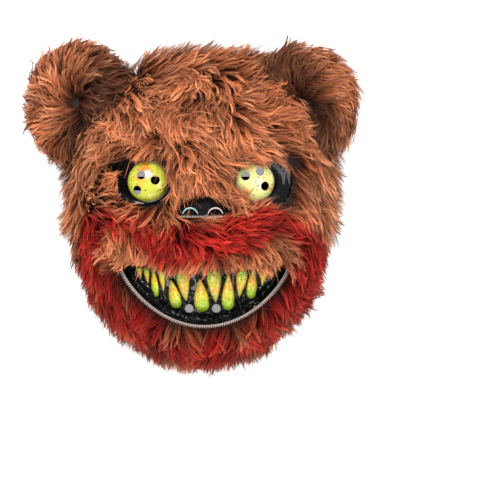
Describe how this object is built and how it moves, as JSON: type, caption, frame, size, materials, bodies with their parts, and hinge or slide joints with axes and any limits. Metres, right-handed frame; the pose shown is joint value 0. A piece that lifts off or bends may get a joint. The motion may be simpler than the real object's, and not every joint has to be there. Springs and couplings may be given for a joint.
{
  "type": "bear mask",
  "caption": "Plush horror bear face mask on a thin moulded shell, open at the back, with sight holes, pointed teeth, round ears and an elastic strap.",
  "frame": {"origin": "middle of the box's underside, on the surface that the back rim rests on", "axes": "+Z is the way the face looks, +Y the top of the head, +X the right of the face as it is looked at"},
  "size_m": [0.3038, 0.2966, 0.1118],
  "materials": {
    "black_shell": "glossy moulded",
    "eye_paint": "painted, glossy, splattered",
    "tooth_paint": "painted, glossy, splattered",
    "plush": "long pile, brown with red bands",
    "elastic": "woven elastic",
    "rivet_metal": "plain"
  },
  "bodies": {
    "root": {"face_shell": "black_shell", "eye_left": "eye_paint", "eye_right": "eye_paint", "nose": "black_shell", "mouth_tray": "black_shell", "tooth_lower_1": "tooth_paint", "tooth_lower_2": "tooth_paint", "tooth_lower_3": "tooth_paint", "tooth_lower_4": "tooth_paint", "tooth_lower_5": "tooth_paint", "tooth_upper_1": "tooth_paint", "tooth_upper_2": "tooth_paint", "tooth_upper_3": "tooth_paint", "tooth_upper_4": "tooth_paint", "tooth_upper_5": "tooth_paint", "tooth_upper_6": "tooth_paint", "tooth_upper_7": "tooth_paint", "fur_brow": "plush", "fur_muzzle": "plush", "fur_jaw": "plush", "ear_left": "plush", "ear_right": "plush", "strap": "elastic", "rivet_left": "rivet_metal", "rivet_right": "rivet_metal"}
  },
  "joints": []
}
